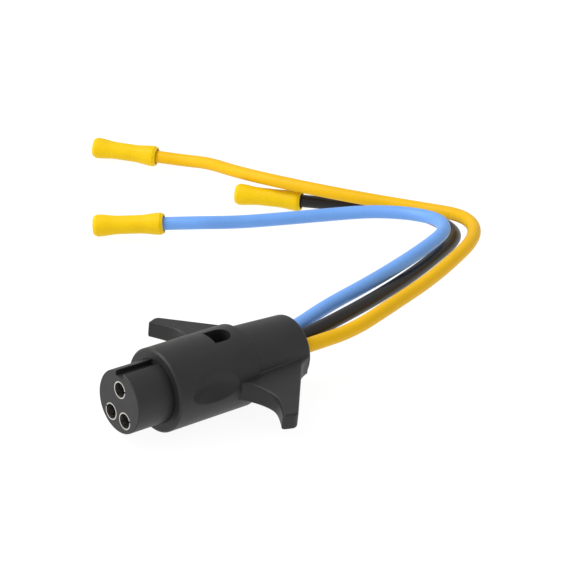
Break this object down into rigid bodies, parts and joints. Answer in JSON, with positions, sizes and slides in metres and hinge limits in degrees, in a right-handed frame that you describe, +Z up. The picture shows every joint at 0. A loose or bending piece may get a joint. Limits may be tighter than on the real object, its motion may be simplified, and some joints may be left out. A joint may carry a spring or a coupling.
{
  "type": "trailer wiring connector",
  "caption": "Moulded round power plug with socket contacts in a keyed nose, side wings for pulling it, and coloured leads that end in crimp butt connectors.",
  "frame": {"origin": "on the surface that the plug lies on, under the middle of the moulded plug, leads left out", "axes": "+Z up, -Y out of the nose along the plug's axis, +X and -X out along the wings"},
  "size_m": [0.2253, 0.1892, 0.0282],
  "materials": {
    "body_plastic": "satin moulded",
    "carrier_plastic": "satin moulded",
    "tinned_contact": "bright tin plate",
    "blue_jacket": "semi-gloss PVC",
    "black_jacket": "semi-gloss PVC",
    "yellow_jacket": "semi-gloss PVC",
    "copper_strands": "bare copper strands",
    "sleeve_vinyl": "soft vinyl",
    "tinned_barrel": "tin plate"
  },
  "bodies": {
    "root": {"plug_body": "body_plastic", "contact_carrier": "carrier_plastic", "socket_contact_left": "tinned_contact", "socket_contact_top": "tinned_contact", "socket_contact_right": "tinned_contact", "blue_lead_jacket": "blue_jacket", "blue_lead_strands": "copper_strands", "blue_butt_sleeve": "sleeve_vinyl", "blue_butt_barrel": "tinned_barrel", "black_lead_jacket": "black_jacket", "black_lead_strands": "copper_strands", "black_butt_sleeve": "sleeve_vinyl", "black_butt_barrel": "tinned_barrel", "yellow_lead_jacket": "yellow_jacket", "yellow_lead_strands": "copper_strands", "yellow_butt_sleeve": "sleeve_vinyl", "yellow_butt_barrel": "tinned_barrel"}
  },
  "joints": []
}
